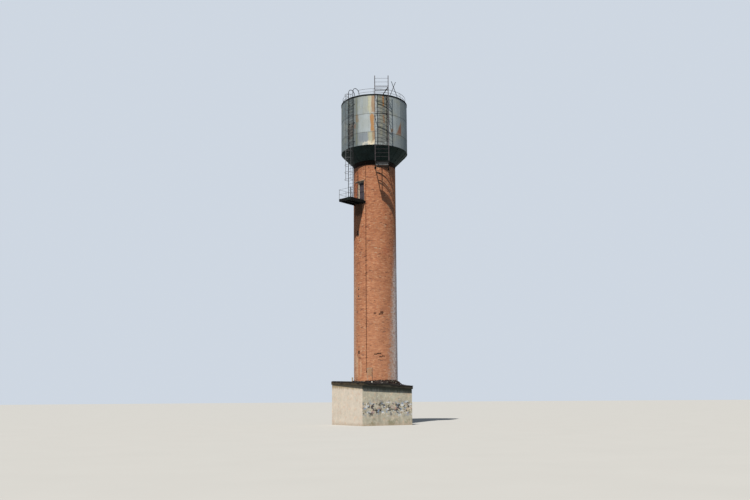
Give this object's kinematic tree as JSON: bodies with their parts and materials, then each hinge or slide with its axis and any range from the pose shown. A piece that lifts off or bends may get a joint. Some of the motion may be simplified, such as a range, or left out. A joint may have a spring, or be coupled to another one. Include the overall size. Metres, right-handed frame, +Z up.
{
  "type": "brick water tower",
  "caption": "Brick water tower: square plastered base, tall round shaft, sheet-clad tank on a dark funnel, side balcony with caged ladder, wide ladder in front.",
  "frame": {"origin": "on the axis of the round shaft, at the lowest ground, on the underside of the floor slab", "axes": "+Z up along the shaft, +X to the right wall of the base and -Y out of its front wall"},
  "size_m": [7.4045, 7.6275, 32.8],
  "materials": {
    "plaster": "weathered cream plaster with stains",
    "concrete": "dark weathered concrete",
    "tar": "rough tar and rubble",
    "brick": "orange-brown brick with grey mortar",
    "lintel": "pale yellow concrete",
    "door": "dark purple-brown paint",
    "sheet": "weathered galvanised sheet with rust streaks",
    "dark": "near-black green bitumen paint",
    "steel": "dark rusted steel"
  },
  "bodies": {
    "root": {"base_wall_left": "plaster", "base_wall_right": "plaster", "base_wall_front": "plaster", "base_wall_back_left": "plaster", "base_wall_back_right": "plaster", "base_wall_over_entrance": "plaster", "base_floor": "concrete", "base_roof": "concrete", "shaft_cap": "concrete", "roof_tar_collar": "tar", "shaft_wall_1": "brick", "shaft_wall_2": "brick", "shaft_wall_3": "brick", "shaft_wall_4": "brick", "shaft_wall_5": "brick", "shaft_entrance_jamb_left": "brick", "shaft_entrance_jamb_right": "brick", "shaft_door_jamb_left": "brick", "shaft_door_jamb_right": "brick", "shaft_wall_over_entrance": "brick", "shaft_wall_under_door": "brick", "shaft_wall_over_door": "brick", "door_lintel": "lintel", "balcony_door": "door", "entrance_door": "door", "tank_wall_1": "sheet", "tank_wall_2": "sheet", "tank_wall_3": "sheet", "tank_wall_4": "sheet", "tank_wall_5": "sheet", "tank_wall_6": "sheet", "tank_funnel": "dark", "tank_roof": "dark", "tank_rim": "dark", "balcony_frame": "dark", "balcony_deck": "dark", "landing_frame": "dark", "landing_deck": "dark", "balcony_rail_left": "steel", "balcony_rail_right": "steel", "balcony_rail_outer": "steel", "caged_ladder": "steel", "ladder_cage": "steel", "front_ladder": "steel", "ladder_tie_lower": "steel", "ladder_tie_upper": "steel", "guard_rail_1": "steel", "guard_rail_2": "steel", "guard_rail_3": "steel", "guard_rail_4": "steel", "crossed_poles": "steel", "down_conductor": "steel", "tank_pipe": "steel"}
  },
  "joints": []
}
